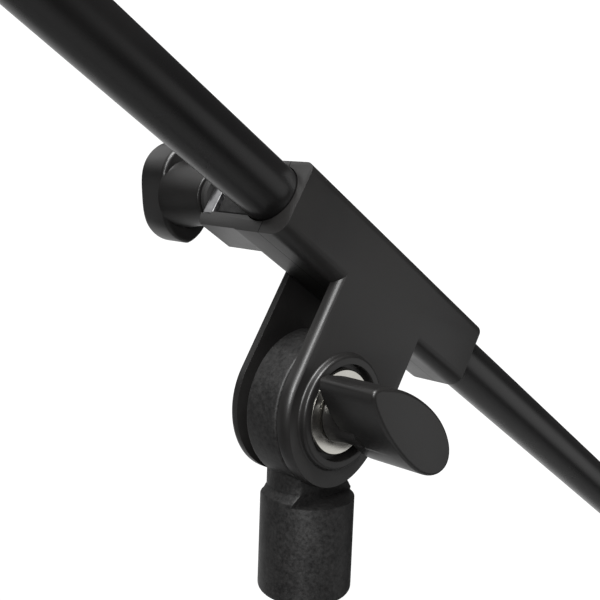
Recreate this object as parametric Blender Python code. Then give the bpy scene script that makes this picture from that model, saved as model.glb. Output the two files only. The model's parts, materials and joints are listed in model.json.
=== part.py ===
"""Boom microphone stand: folding leg base, telescopic upright, swivel head and sliding boom.

Metres, +Z up. The boom lies in the XZ plane and slopes down towards +X; its tilting axis is
along Y. Pieces of the head are built about that axis, with X along the boom.
"""

import math

import bmesh
import bpy
from mathutils import Matrix

# The upright stands on Z; this is how high the tilting axis is
PIVOT_Z = 0.960
GAP = 0.0003

# Boom
BOOM_SLOPE = math.radians(32.2)
BOOM_RISE = 0.047
BOOM_R = 0.0095
BOOM_WALL = 0.0012
BOOM_UP = 0.470
BOOM_DOWN = 0.427

# Clamp housing, in its own frame: X along the boom, Z away from the tilting axis
HOUSING_X = (-0.055, 0.057)
HOUSING_Z = (0.0335, 0.0585)
HOUSING_HALF_Y = 0.0125
EAR_R = 0.0242
NEAR_EAR_INNER_Y = -0.0085
FAR_EAR_INNER_Y = 0.0094
COLLAR_R = 0.0187
COLLAR_PROUD = 0.0024
RECESS_R = 0.0158

# Rear channel and the screw that locks the boom
SCREW_X = -0.049
CHANNEL_X = -0.0415
CHANNEL_Y = 0.0265
CHANNEL_Z = (0.0387, 0.0553)
PLATE_Y = (0.0220, 0.0264)
BOLT_R = 0.004

# Tilting joint
DISC_R = 0.0246
DISC_FAR_Y = 0.0050
WASHER_R = 0.014
NECK_R = 0.0138
SOCKET_R = 0.0157
SOCKET_BOTTOM = -0.064

# Wing knobs: length, and depth along the axis
FRONT_WING = (0.048, -0.0200, -0.0420)
REAR_WING = (0.0335, 0.0450, 0.0578)

# Upright
LOWER_R = 0.0125
LOWER_WALL = 0.0015
LOWER_Z = (0.085, 0.600)
UPPER_R = 0.0095
UPPER_WALL = 0.0012
UPPER_Z = (0.400, PIVOT_Z - 0.036)

# Leg base
LEG_COUNT = 3
LEG_PIVOT_R = 0.036
LEG_PIVOT_Z = 0.135
LEG_R = 0.008
LEG_WALL = 0.0012
LEG_LENGTH = 0.330
FOOT_R = 0.0125
TONGUE_HALF = 0.004

ROUND = 40


def clear_scene():
    for obj in list(bpy.data.objects):
        bpy.data.objects.remove(obj, do_unlink=True)


def collection(name):
    group = bpy.data.collections.new(name)
    bpy.context.scene.collection.children.link(group)
    return group


def material(name, colour, roughness, metallic=0.0):
    mat = bpy.data.materials.new(name)
    mat.use_nodes = True
    shader = mat.node_tree.nodes["Principled BSDF"]
    shader.inputs["Base Color"].default_value = (*colour, 1.0)
    shader.inputs["Roughness"].default_value = roughness
    shader.inputs["Metallic"].default_value = metallic
    return mat


def turned(profile, steps=ROUND):
    """A solid of revolution about Z from a closed profile of (radius, height) points."""
    bm = bmesh.new()
    rings = []
    for radius, height in profile:
        if radius == 0.0:
            rings.append([bm.verts.new((0.0, 0.0, height))] * steps)
            continue
        turns = [2 * math.pi * (i + 0.5) / steps for i in range(steps)]
        rings.append(
            [bm.verts.new((radius * math.cos(a), radius * math.sin(a), height)) for a in turns]
        )
    for ring, above in zip(rings, rings[1:] + rings[:1]):
        for i in range(steps):
            j = (i + 1) % steps
            corners = list(dict.fromkeys((ring[i], ring[j], above[j], above[i])))
            if len(corners) > 2:
                bm.faces.new(corners)
    bmesh.ops.recalc_face_normals(bm, faces=bm.faces)
    return bm


def rod(radius, low, high, chamfer=0.0, steps=ROUND):
    if chamfer == 0.0:
        return turned([(0, low), (radius, low), (radius, high), (0, high)], steps)
    inner = radius - chamfer
    return turned(
        [
            (0, low),
            (inner, low),
            (radius, low + chamfer),
            (radius, high - chamfer),
            (inner, high),
            (0, high),
        ],
        steps,
    )


def pipe(outer, inner, low, high, steps=ROUND):
    return turned([(inner, low), (outer, low), (outer, high), (inner, high)], steps)


def slab(outline, low, high):
    """A flat outline of (x, y) points, extruded along Z from low to high."""
    bm = bmesh.new()
    bottom = [bm.verts.new((x, y, low)) for x, y in outline]
    face = bm.faces.new(bottom)
    made = bmesh.ops.extrude_face_region(bm, geom=[face])
    lifted = [v for v in made["geom"] if isinstance(v, bmesh.types.BMVert)]
    bmesh.ops.translate(bm, verts=lifted, vec=(0, 0, high - low))
    bmesh.ops.recalc_face_normals(bm, faces=bm.faces)
    return bm


def box(x, y, z):
    """A block between pairs of limits on the three axes."""
    outline = [(x[0], y[0]), (x[1], y[0]), (x[1], y[1]), (x[0], y[1])]
    return slab(outline, z[0], z[1])


def arc(centre, radius, start, end, steps):
    """Points on an arc, angles in degrees."""
    found = []
    for i in range(steps + 1):
        a = math.radians(start + (end - start) * i / steps)
        found.append((centre[0] + radius * math.cos(a), centre[1] + radius * math.sin(a)))
    return found


def place(bm, matrix):
    bmesh.ops.transform(bm, matrix=matrix, verts=bm.verts)
    if matrix.determinant() < 0:
        bmesh.ops.reverse_faces(bm, faces=bm.faces)
    return bm


def move(bm, x=0.0, y=0.0, z=0.0):
    return place(bm, Matrix.Translation((x, y, z)))


# Turns Z onto X or Y. TO_Y keeps X and sends an outline's second coordinate to Z.
TO_X = Matrix(((0, 0, 1, 0), (1, 0, 0, 0), (0, 1, 0, 0), (0, 0, 0, 1)))
TO_Y = Matrix(((1, 0, 0, 0), (0, 0, 1, 0), (0, 1, 0, 0), (0, 0, 0, 1)))


def along_x(bm):
    return place(bm, TO_X)


def along_y(bm):
    return place(bm, TO_Y)


def to_object(name, bm, group):
    mesh = bpy.data.meshes.new(name)
    bm.to_mesh(mesh)
    bm.free()
    obj = bpy.data.objects.new(name, mesh)
    group.objects.link(obj)
    return obj


def piece(name, bm, mat, parent=None, location=(0, 0, 0)):
    obj = to_object(name, bm, STAND)
    obj.data.materials.append(mat)
    obj.parent = parent
    obj.location = location
    return obj


def shape(obj, operation, bm):
    """Adds to or cuts from a piece with a hidden helper that shares its parent and place."""
    tool = to_object(f"{obj.name}_{operation.lower()}_{len(obj.modifiers)}", bm, TOOLS)
    tool.parent = obj
    tool.hide_render = True
    tool.display_type = "WIRE"
    boolean = obj.modifiers.new(operation.title(), "BOOLEAN")
    boolean.operation = operation
    boolean.solver = "EXACT"
    boolean.object = tool


def add(obj, *shapes):
    for bm in shapes:
        shape(obj, "UNION", bm)


def cut(obj, *shapes):
    for bm in shapes:
        shape(obj, "DIFFERENCE", bm)


def empty(name, location, slope=0.0, parent=None):
    obj = bpy.data.objects.new(name, None)
    obj.empty_display_size = 0.02
    obj.location = location
    obj.rotation_euler = (0, slope, 0)
    obj.parent = parent
    STAND.objects.link(obj)
    return obj


def wing_outline(length, width, steps=9):
    """A leaf with one slim end and one blunt end, its long axis along X."""
    sides = (
        (0.54, 0.08 * length, 0.625, 0.5),
        (-0.46, 0.19 * length, 0.8, 0.5),
    )
    half = length / 2
    found = []
    for share, peak, slim, blunt in sides:
        edge = []
        for i in range(2 * steps + 1):
            x = -half * math.cos(math.pi * i / (2 * steps))
            reach = peak + half if x < peak else half - peak
            power = slim if x < peak else blunt
            edge.append((x, share * width * max(0.0, 1 - ((x - peak) / reach) ** 2) ** power))
        found.append(edge)
    upper, lower = found
    return lower[:-1] + upper[:0:-1]


def bar_outline(length, width, steps=16):
    """A bar with full sides that draw in to slim round ends, its long axis along X."""
    side = []
    for i in range(steps + 1):
        x = -math.cos(math.pi * i / steps)
        side.append((length / 2 * x, width / 2 * (1 - abs(x) ** 3.2) ** 0.714))
    return [(x, -z) for x, z in side[:-1]] + side[:0:-1]


def wing(length, width, near, far, turn, steps=9):
    """A knob's wing: the leaf extruded along Y and turned about Y."""
    bm = slab(wing_outline(length, width, steps), min(near, far), max(near, far))
    along_y(bm)
    return place(bm, Matrix.Rotation(turn, 4, "Y"))


# ---- leg base -----------------------------------------------------------------------------


def build_hub():
    hub = piece(
        "base_hub",
        turned(
            [
                (LOWER_R + GAP, 0.095),
                (0.021, 0.095),
                (0.0273, 0.101),
                (0.0273, 0.1296),
                (0.0215, 0.1296),
                (0.0215, 0.160),
                (0.018, 0.170),
                (LOWER_R + GAP, 0.170),
            ]
        ),
        CAST,
    )
    for i in range(LEG_COUNT):
        turn = Matrix.Rotation(leg_angle(i), 4, "Z")
        for side in (-1, 1):
            near, far = sorted((side * (TONGUE_HALF + GAP), side * (TONGUE_HALF + 0.0046)))
            outline = [(0.0185, 0.112), (0.0275, 0.112)]
            outline += arc((LEG_PIVOT_R, LEG_PIVOT_Z), 0.0105, -110, 80, 10)
            outline += [(0.030, 0.152), (0.0185, 0.158)]
            cheek = along_y(slab(outline, near, far))
            add(hub, place(cheek, turn))
        pin = along_y(rod(0.003 + GAP, -0.02, 0.02, steps=16))
        cut(hub, place(move(pin, x=LEG_PIVOT_R, z=LEG_PIVOT_Z), turn))
    return hub


def leg_angle(i):
    return math.pi / 3 + i * 2 * math.pi / LEG_COUNT


def leg_slope():
    return math.asin((LEG_PIVOT_Z - 0.0105) / LEG_LENGTH)


def build_legs():
    slope = leg_slope()
    for i in range(LEG_COUNT):
        angle = leg_angle(i)
        joint = empty(
            f"leg_joint_{i + 1}",
            (LEG_PIVOT_R * math.cos(angle), LEG_PIVOT_R * math.sin(angle), LEG_PIVOT_Z),
        )
        joint.rotation_euler = (0, slope, angle)

        outline = arc((0.002, 0), 0.0078, 90, 180, 5) + [(-0.0105, -0.0035), (-0.0105, -0.0078)]
        outline = [(0.019, 0.0078)] + outline + [(0.019, -0.0078)]
        knuckle = piece(
            f"leg_knuckle_{i + 1}",
            along_y(slab(outline, -TONGUE_HALF, TONGUE_HALF)),
            CAST,
            joint,
        )
        add(knuckle, along_x(rod(LEG_R - LEG_WALL - GAP, 0.018, 0.046, 0.0005, 24)))
        add(knuckle, along_x(rod(0.0079, 0.017, 0.0215, steps=24)))
        cut(knuckle, along_y(rod(0.003 + GAP, -0.01, 0.01, steps=16)))

        piece(
            f"leg_tube_{i + 1}",
            along_x(pipe(LEG_R, LEG_R - LEG_WALL, 0.022, LEG_LENGTH - 0.004, 32)),
            POWDER_COAT,
            joint,
        )

        foot = rod(FOOT_R, LEG_LENGTH - 0.030, LEG_LENGTH + 0.012, 0.002, 32)
        foot = piece(f"leg_foot_{i + 1}", along_x(foot), RUBBER, joint)
        cut(foot, along_x(rod(LEG_R + GAP, LEG_LENGTH - 0.04, LEG_LENGTH - 0.0035, steps=32)))
        floor = box((-0.06, 0.06), (-0.03, 0.03), (-0.03, 0.0))
        floor.transform(Matrix.Rotation(-slope, 4, "Y"))
        drop = LEG_PIVOT_Z / math.cos(slope)
        cut(foot, move(floor, x=LEG_LENGTH, z=-drop + LEG_LENGTH * math.tan(slope)))

        head = TONGUE_HALF + 0.0046 + GAP
        pin = turned(
            [
                (0, -head - 0.0018),
                (0.0045, -head - 0.0018),
                (0.0045, -head),
                (0.003, -head),
                (0.003, head),
                (0.0045, head),
                (0.0045, head + 0.0018),
                (0, head + 0.0018),
            ],
            16,
        )
        piece(f"leg_pin_{i + 1}", along_y(pin), ZINC, joint)


# ---- upright ------------------------------------------------------------------------------


def build_upright():
    piece("lower_tube", pipe(LOWER_R, LOWER_R - LOWER_WALL, *LOWER_Z), POWDER_COAT)
    plug_top = LOWER_Z[0] - GAP
    piece(
        "tube_plug",
        turned(
            [
                (0, plug_top - 0.005),
                (LOWER_R - 0.001, plug_top - 0.005),
                (LOWER_R, plug_top - 0.004),
                (LOWER_R, plug_top),
                (LOWER_R - LOWER_WALL - GAP, plug_top),
                (LOWER_R - LOWER_WALL - 0.0006, plug_top + 0.012),
                (0, plug_top + 0.012),
            ]
        ),
        RUBBER,
    )
    top = LOWER_Z[1]
    piece(
        "clutch_body",
        turned(
            [
                (LOWER_R + GAP, top - 0.040),
                (0.0158, top - 0.040),
                (0.0165, top - 0.038),
                (0.0165, top - 0.002),
                (0.0148, top - 0.002),
                (0.0148, top + 0.010),
                (LOWER_R + GAP, top + 0.010),
            ]
        ),
        BLACK_PLASTIC,
    )
    piece(
        "clutch_collet",
        turned(
            [
                (UPPER_R + GAP, top - 0.030),
                (LOWER_R - LOWER_WALL - GAP, top - 0.030),
                (LOWER_R - LOWER_WALL - GAP, top + GAP),
                (LOWER_R - 0.0003, top + GAP),
                (LOWER_R - 0.0003, top + 0.018),
                (UPPER_R + 0.0008, top + 0.026),
                (UPPER_R + GAP, top + 0.026),
            ]
        ),
        LINER,
    )
    piece(
        "clutch_grip",
        turned(
            [
                (0.0151, top - 0.0015),
                (0.0182, top - 0.0015),
                (0.0190, top),
                (0.0190, top + 0.036),
                (0.0168, top + 0.046),
                (0.0120, top + 0.048),
                (UPPER_R + 0.0005, top + 0.048),
                (UPPER_R + 0.0005, top + 0.033),
                (UPPER_R + 0.0015, top + 0.028),
                (LOWER_R + 0.0004, top + 0.019),
                (LOWER_R + 0.0004, top + 0.0105),
                (0.0151, top + 0.0105),
            ]
        ),
        BLACK_PLASTIC,
    )
    piece("upper_tube", pipe(UPPER_R, UPPER_R - UPPER_WALL, *UPPER_Z), POWDER_COAT)
    stud_low = UPPER_Z[1]
    piece(
        "head_stud",
        turned(
            [
                (0, stud_low - 0.024),
                (UPPER_R - UPPER_WALL - GAP, stud_low - 0.024),
                (UPPER_R - UPPER_WALL - GAP, stud_low),
                (0.005, stud_low),
                (0.005, stud_low + 0.0085),
                (0, stud_low + 0.0085),
            ],
            32,
        ),
        BRASS,
    )


# ---- swivel head --------------------------------------------------------------------------


def build_pivot_head():
    """The disc, its neck and the socket on the upright, moulded in one."""
    near, far = NEAR_EAR_INNER_Y + GAP, DISC_FAR_Y
    seat = 0.0011
    head = piece(
        "pivot_head",
        along_y(
            turned(
                [
                    (0.0048, near + seat),
                    (0.0162, near + seat),
                    (0.0162, near),
                    (DISC_R - 0.001, near),
                    (DISC_R, near + 0.001),
                    (DISC_R, far - 0.001),
                    (DISC_R - 0.001, far),
                    (0.0048, far),
                ]
            )
        ),
        GREY_PLASTIC,
        SWIVEL,
    )
    neck = rod(NECK_R, -0.032, -0.0165)
    ledge = [(-0.02, -0.0308), (-0.0064, -0.0308), (near, -0.0250), (near, -0.010), (-0.02, -0.010)]
    cut_near = along_x(slab(ledge, -0.02, 0.02))
    cut_far = box((-0.02, 0.02), (FAR_EAR_INNER_Y - GAP, 0.02), (-0.0308, -0.010))
    socket = turned(
        [
            (0, SOCKET_BOTTOM),
            (SOCKET_R - 0.0012, SOCKET_BOTTOM),
            (SOCKET_R, SOCKET_BOTTOM + 0.003),
            (SOCKET_R, -0.0295),
            (NECK_R, -0.0268),
            (0, -0.0268),
        ]
    )
    add(head, socket, neck)
    cut(head, cut_near, cut_far)
    cut(head, rod(UPPER_R + GAP, -0.070, -0.0357), rod(0.0053, -0.040, -0.0270, steps=24))


def build_friction_washers():
    for name, low, high in (
        ("friction_washer_near", NEAR_EAR_INNER_Y + GAP, NEAR_EAR_INNER_Y + 0.0011),
        ("friction_washer_far", DISC_FAR_Y + GAP, FAR_EAR_INNER_Y - GAP),
    ):
        piece(name, along_y(pipe(0.0158, 0.0048, low, high, 36)), LINER, TILT)


def ear(radius, low, high):
    outline = arc((0, 0), radius, 180, 360, 20) + [(radius, 0.042), (-radius, 0.042)]
    return along_y(slab(outline, low, high))


def build_housing():
    """The boom clamp and the two ears that straddle the disc, moulded in one."""
    half, low, high = HOUSING_HALF_Y, *HOUSING_Z
    section = arc((half - 0.0035, high - 0.0035), 0.0035, 0, 90, 4)
    section += arc((-half + 0.0035, high - 0.0035), 0.0035, 90, 180, 4)
    section += arc((-half + 0.0050, low + 0.0050), 0.0050, 180, 270, 5)
    section += arc((half - 0.0055, low + 0.0055), 0.0055, 270, 360, 5)
    housing = piece("clamp_housing", along_x(slab(section, *HOUSING_X)), BLACK_PLASTIC, TILT)
    add(housing, ear(EAR_R, -half, NEAR_EAR_INNER_Y))
    add(housing, ear(EAR_R, FAR_EAR_INNER_Y, half))
    collar = [
        (0, -half - COLLAR_PROUD),
        (COLLAR_R, -half - COLLAR_PROUD),
        (COLLAR_R + 0.0008, -half + 0.0010),
        (0, -half + 0.0010),
    ]
    add(housing, along_y(turned(collar)))
    boss = [(0.004, low + 0.0003), (CHANNEL_Y - 0.0026, low + 0.0003)]
    boss += [(CHANNEL_Y - 0.0010, low + 0.0014), (CHANNEL_Y, low + 0.0050)]
    boss += [(CHANNEL_Y, high - 0.0010), (0.004, high - 0.0003)]
    add(housing, along_x(slab(boss, HOUSING_X[0], CHANNEL_X + 0.0010)))

    axis_z = BOOM_RISE
    open_end = (HOUSING_X[0] - 0.002, CHANNEL_X)
    cut(
        housing,
        move(along_x(rod(BOOM_R + GAP, HOUSING_X[0] - 0.01, HOUSING_X[1] + 0.01)), z=axis_z),
        box(open_end, (0.004, CHANNEL_Y + 0.002), CHANNEL_Z),
        box(
            open_end,
            (PLATE_Y[0] - GAP, PLATE_Y[1] + GAP + 0.001),
            (CHANNEL_Z[0] - 0.0008, CHANNEL_Z[1] + 0.0008),
        ),
        along_y(rod(RECESS_R, -half - 0.006, -half + 0.0010)),
        along_y(rod(BOLT_R + GAP, -0.03, 0.03, steps=24)),
        along_y(rod(0.0078, half - 0.0012, half + 0.006, steps=6)),
    )


def build_tilt_hardware():
    half = HOUSING_HALF_Y
    bolt = turned(
        [
            (0, FRONT_WING[2] + 0.010),
            (BOLT_R, FRONT_WING[2] + 0.010),
            (BOLT_R, half - 0.0009),
            (BOLT_R + 0.0002, half - 0.0009),
            (BOLT_R + 0.0002, half + 0.0045),
            (0, half + 0.0045),
        ],
        24,
    )
    bolt = piece("tilt_bolt", along_y(bolt), ZINC, TILT)
    add(bolt, along_y(rod(0.0074, half - 0.0009, half + 0.0043, steps=6)))
    face = -half + 0.0010 - GAP
    piece(
        "knob_washer",
        along_y(
            turned(
                [
                    (BOLT_R + 0.0006, face - 0.0016),
                    (WASHER_R - 0.0004, face - 0.0016),
                    (WASHER_R, face - 0.0012),
                    (WASHER_R, face),
                    (BOLT_R + 0.0006, face),
                ]
            )
        ),
        STEEL,
        TILT,
    )

    near, far = FRONT_WING[1], FRONT_WING[2]
    neck_end = face - 0.0016 - GAP
    knob = piece(
        "tilt_knob",
        wing(FRONT_WING[0], 0.0187, near, far, math.radians(3.8)),
        BLACK_PLASTIC,
        TILT,
    )
    neck = [(0, near - 0.006), (0.0088, near - 0.006), (0.0098, neck_end), (0, neck_end)]
    add(knob, along_y(turned(neck, 36)))
    cut(knob, along_y(rod(0.0062, far + 0.008, 0.0, steps=24)))
    insert = pipe(0.0062 - GAP, BOLT_R + GAP, far + 0.0085, neck_end - 0.001, 24)
    piece("tilt_knob_insert", along_y(insert), BRASS, TILT)


def build_boom_lock():
    axis = (SCREW_X, 0, BOOM_RISE)
    x = (HOUSING_X[0] + 0.0005 - SCREW_X, CHANNEL_X - GAP - SCREW_X)
    z = (CHANNEL_Z[0] + GAP - BOOM_RISE, CHANNEL_Z[1] - GAP - BOOM_RISE)
    jaw = piece("clamp_jaw", box(x, (0.0050, 0.0200), z), GREY_PLASTIC, TILT, axis)
    cut(jaw, along_x(rod(BOOM_R + GAP, -0.02, 0.02)))

    wide = (z[0] - 0.0008, z[1] + 0.0008)
    plate = piece("clamp_nut_plate", box(x, PLATE_Y, wide), ZINC, TILT, axis)
    cut(plate, along_y(rod(BOLT_R + GAP, 0.01, 0.04, steps=24)))

    screw = rod(BOLT_R, 0.0200 + GAP, REAR_WING[1] + 0.006, 0.0006, 24)
    piece("clamp_screw", along_y(screw), ZINC, TILT, axis)
    ring = pipe(0.0080, BOLT_R + GAP, CHANNEL_Y + GAP, CHANNEL_Y + 0.0030, 36)
    piece("clamp_ring", along_y(ring), RUBBER, TILT, axis)

    near, far = REAR_WING[1], REAR_WING[2]
    start = CHANNEL_Y + 0.0030 + GAP
    bar = along_y(slab(bar_outline(REAR_WING[0], 0.0206), near, far))
    place(bar, Matrix.Rotation(math.radians(52.6), 4, "Y"))
    knob = piece(
        "clamp_knob",
        bar,
        BLACK_PLASTIC,
        TILT,
        axis,
    )
    hub = [(0, start), (0.0085, start), (0.0090, start + 0.002)]
    hub += [(0.0115, near + 0.001), (0, near + 0.001)]
    add(knob, along_y(turned(hub, 36)))
    cut(knob, along_y(rod(BOLT_R + GAP, 0.0, near + 0.0065, steps=24)))


# ---- boom ---------------------------------------------------------------------------------


def build_boom():
    inner = BOOM_R - BOOM_WALL
    axis = (0, 0, BOOM_RISE)
    piece("boom_tube", along_x(pipe(BOOM_R, inner, -BOOM_UP, BOOM_DOWN)), POWDER_COAT, TILT, axis)

    end = BOOM_DOWN + GAP
    cap = turned(
        [
            (0, end - 0.018),
            (inner - 0.0006, end - 0.018),
            (inner - GAP, end - 0.016),
            (inner - GAP, end),
            (BOOM_R + 0.0008, end),
            (BOOM_R + 0.0008, end + 0.003),
            (BOOM_R - 0.001, end + 0.005),
            (0, end + 0.005),
        ]
    )
    piece("boom_end_cap", along_x(cap), RUBBER, TILT, axis)

    tip = -BOOM_UP - GAP
    stud = turned(
        [
            (0, tip - 0.024),
            (0.0042, tip - 0.024),
            (0.00476, tip - 0.0234),
            (0.00476, tip - 0.0075),
            (0.0090, tip - 0.0075),
            (0.0090, tip),
            (inner - GAP, tip),
            (inner - GAP, tip + 0.020),
            (0, tip + 0.020),
        ],
        40,
    )
    piece("microphone_stud", along_x(stud), ZINC, TILT, axis)
    collar = turned(
        [
            (BOOM_R + GAP, tip + 0.030),
            (BOOM_R + 0.0014, tip + 0.030),
            (BOOM_R + 0.0022, tip + 0.027),
            (BOOM_R + 0.0022, tip - 0.0090),
            (BOOM_R + 0.0012, tip - 0.0105),
            (0.0056, tip - 0.0105),
            (0.0056, tip - 0.0080),
            (BOOM_R + GAP, tip - 0.0080),
        ],
        40,
    )
    piece("boom_tip_collar", along_x(collar), BLACK_PLASTIC, TILT, axis)


clear_scene()
STAND = collection("boom_microphone_stand")
TOOLS = collection("shaping_tools")
TOOLS.hide_render = True

BLACK_PLASTIC = material("black_plastic", (0.030, 0.029, 0.028), 0.48)
GREY_PLASTIC = material("grey_plastic", (0.065, 0.063, 0.062), 0.62)
POWDER_COAT = material("powder_coat", (0.016, 0.015, 0.016), 0.36)
CAST = material("cast_zinc", (0.028, 0.028, 0.029), 0.45)
STEEL = material("plated_steel", (0.62, 0.60, 0.54), 0.28, 1.0)
ZINC = material("zinc_plate", (0.42, 0.42, 0.42), 0.38, 1.0)
BRASS = material("brass", (0.55, 0.42, 0.18), 0.35, 1.0)
RUBBER = material("rubber", (0.018, 0.018, 0.018), 0.80)
LINER = material("nylon", (0.050, 0.050, 0.052), 0.55)

SWIVEL = empty("head_swivel", (0, 0, PIVOT_Z))
TILT = empty("boom_tilt", (0, 0, 0), BOOM_SLOPE, SWIVEL)

build_hub()
build_legs()
build_upright()
build_pivot_head()
build_friction_washers()
build_housing()
build_tilt_hardware()
build_boom_lock()
build_boom()
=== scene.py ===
"""Boom microphone stand: the looks of the leg base, upright, swivel head and sliding boom."""

import json
import math

import bmesh
import bpy
from mathutils import Matrix, Vector


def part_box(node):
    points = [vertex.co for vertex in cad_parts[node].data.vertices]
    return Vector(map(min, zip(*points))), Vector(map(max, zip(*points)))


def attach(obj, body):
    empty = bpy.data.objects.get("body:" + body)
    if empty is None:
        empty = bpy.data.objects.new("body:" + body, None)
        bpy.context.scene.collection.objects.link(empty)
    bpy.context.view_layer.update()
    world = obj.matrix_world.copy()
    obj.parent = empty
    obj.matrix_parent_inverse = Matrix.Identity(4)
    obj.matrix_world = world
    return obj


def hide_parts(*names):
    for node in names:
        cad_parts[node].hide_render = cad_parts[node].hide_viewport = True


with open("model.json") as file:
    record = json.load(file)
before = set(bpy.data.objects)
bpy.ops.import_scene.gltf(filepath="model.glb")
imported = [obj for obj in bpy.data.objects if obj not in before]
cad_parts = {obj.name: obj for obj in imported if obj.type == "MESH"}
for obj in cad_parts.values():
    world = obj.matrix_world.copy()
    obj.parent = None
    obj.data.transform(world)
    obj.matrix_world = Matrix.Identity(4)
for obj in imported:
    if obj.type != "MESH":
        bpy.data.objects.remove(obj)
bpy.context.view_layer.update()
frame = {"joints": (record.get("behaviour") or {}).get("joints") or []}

JOINTS = {joint["name"]: joint for joint in frame["joints"]}


# ---- Leg base: the cast hub ----------------------------------------------------------------
# A zinc casting bored for the upright, with a pair of cheeks for each leg. It is barrel
# finished, so its edges are soft, and painted satin black over a faintly pitted skin.

HUB_BORE = 0.0128
HUB_FLOOR_Z = 0.1296
CHEEK_SLOT = 0.0043
CHEEK_OUT = 0.0086
LEG_JOINTS = [JOINTS[name] for name in sorted(JOINTS) if name.startswith("leg_fold")]


def loop_of(bm, points):
    """A closed loop of edges through flat (x, z) points at y = 0."""
    verts = [bm.verts.new((x, 0.0, z)) for x, z in points]
    return [bm.edges.new(pair) for pair in zip(verts, verts[1:] + verts[:1])]


def turned(profile, steps=96):
    """A closed (radius, height) profile spun about Z."""
    bm = bmesh.new()
    edges = loop_of(bm, profile)
    verts = list({v for edge in edges for v in edge.verts})
    bmesh.ops.spin(
        bm, geom=verts + edges, cent=(0, 0, 0), axis=(0, 0, 1), angle=2 * math.pi,
        steps=steps, use_merge=True,
    )
    bmesh.ops.remove_doubles(bm, verts=bm.verts, dist=1e-7)
    bmesh.ops.recalc_face_normals(bm, faces=bm.faces)
    return bm


def arc(centre, radius, start, end, steps):
    """Points on an arc, angles in degrees."""
    points = []
    for i in range(steps + 1):
        a = math.radians(start + (end - start) * i / steps)
        points.append((centre[0] + radius * math.cos(a), centre[1] + radius * math.sin(a)))
    return points


def plate(outline, low, high):
    """A flat outline of (x, z) points, extruded along Y."""
    bm = bmesh.new()
    loop_of(bm, outline)
    face = bm.faces.new(bm.verts)
    grown = bmesh.ops.extrude_face_region(bm, geom=[face])
    lifted = [v for v in grown["geom"] if isinstance(v, bmesh.types.BMVert)]
    bmesh.ops.translate(bm, verts=lifted, vec=(0, high - low, 0))
    bmesh.ops.translate(bm, verts=bm.verts, vec=(0, low, 0))
    bmesh.ops.recalc_face_normals(bm, faces=bm.faces)
    return bm


def placed(bm, matrix):
    bmesh.ops.transform(bm, matrix=matrix, verts=bm.verts)
    if matrix.determinant() < 0:
        bmesh.ops.reverse_faces(bm, faces=bm.faces)
    return bm


def as_object(bm, name="shape"):
    mesh = bpy.data.meshes.new(name)
    bm.to_mesh(mesh)
    bm.free()
    obj = bpy.data.objects.new(name, mesh)
    bpy.context.scene.collection.objects.link(obj)
    return obj


def carved(base, steps):
    """Joins or cuts shapes one after another: steps are ("UNION" or "DIFFERENCE", bmesh)."""
    body = as_object(base)
    for operation, bm in steps:
        tool = as_object(bm)
        boolean = body.modifiers.new(operation, "BOOLEAN")
        boolean.operation = operation
        boolean.solver = "EXACT"
        boolean.object = tool
        graph = bpy.context.evaluated_depsgraph_get()
        mesh = bpy.data.meshes.new_from_object(body.evaluated_get(graph))
        body.modifiers.clear()
        body.data = mesh
        bpy.data.objects.remove(tool)
    result = bmesh.new()
    result.from_mesh(body.data)
    bpy.data.objects.remove(body)
    bmesh.ops.remove_doubles(result, verts=result.verts, dist=2e-6)
    bmesh.ops.dissolve_limit(
        result, angle_limit=math.radians(0.4), verts=result.verts, edges=result.edges
    )
    return result


def softened(bm, width, angle=35.0, segments=3):
    """Rounds every edge sharper than angle, as a mould or a tumbler leaves it."""
    sharp = [
        edge for edge in bm.edges
        if len(edge.link_faces) == 2 and edge.calc_face_angle() > math.radians(angle)
    ]
    bmesh.ops.bevel(
        bm, geom=sharp, offset=width, offset_type="OFFSET", segments=segments, profile=0.5,
        affect="EDGES", clamp_overlap=True, material=-1,
    )
    return bm


def piece(name, bm, finish, body, nodes=(), crease=32.0):
    """Makes the finished object, shades it and hands it to the frame."""
    obj = as_object(bm, name)
    obj.data.shade_smooth()
    obj.data.set_sharp_from_angle(angle=math.radians(crease))
    obj.data.materials.append(finish)
    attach(obj, body)
    if nodes:
        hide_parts(*nodes)
    return obj


def new_material(name, colour, roughness, metallic=0.0):
    """A Principled material with its node tree, shader and Object coordinates."""
    mat = bpy.data.materials.new(name)
    mat.use_nodes = True
    nodes = mat.node_tree.nodes
    shader = nodes["Principled BSDF"]
    shader.inputs["Base Color"].default_value = (*colour, 1.0)
    shader.inputs["Roughness"].default_value = roughness
    shader.inputs["Metallic"].default_value = metallic
    coords = nodes.new("ShaderNodeTexCoord")
    return mat, mat.node_tree, shader, coords.outputs["Object"]


def noise(tree, coords, scale, detail=3.0, roughness=0.5):
    node = tree.nodes.new("ShaderNodeTexNoise")
    node.inputs["Scale"].default_value = scale
    node.inputs["Detail"].default_value = detail
    node.inputs["Roughness"].default_value = roughness
    tree.links.new(coords, node.inputs["Vector"])
    return node.outputs["Fac"]


def spread(tree, value, low, high, from_low=0.3, from_high=0.7):
    """Maps a 0 to 1 pattern onto a range."""
    node = tree.nodes.new("ShaderNodeMapRange")
    node.inputs["From Min"].default_value = from_low
    node.inputs["From Max"].default_value = from_high
    node.inputs["To Min"].default_value = low
    node.inputs["To Max"].default_value = high
    tree.links.new(value, node.inputs["Value"])
    return node.outputs["Result"]


def blended(tree, factor, first, second):
    """A colour between two, by a pattern."""
    node = tree.nodes.new("ShaderNodeMix")
    node.data_type = "RGBA"
    node.inputs["A"].default_value = (*first, 1.0)
    node.inputs["B"].default_value = (*second, 1.0)
    tree.links.new(factor, node.inputs["Factor"])
    return node.outputs["Result"]


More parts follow.
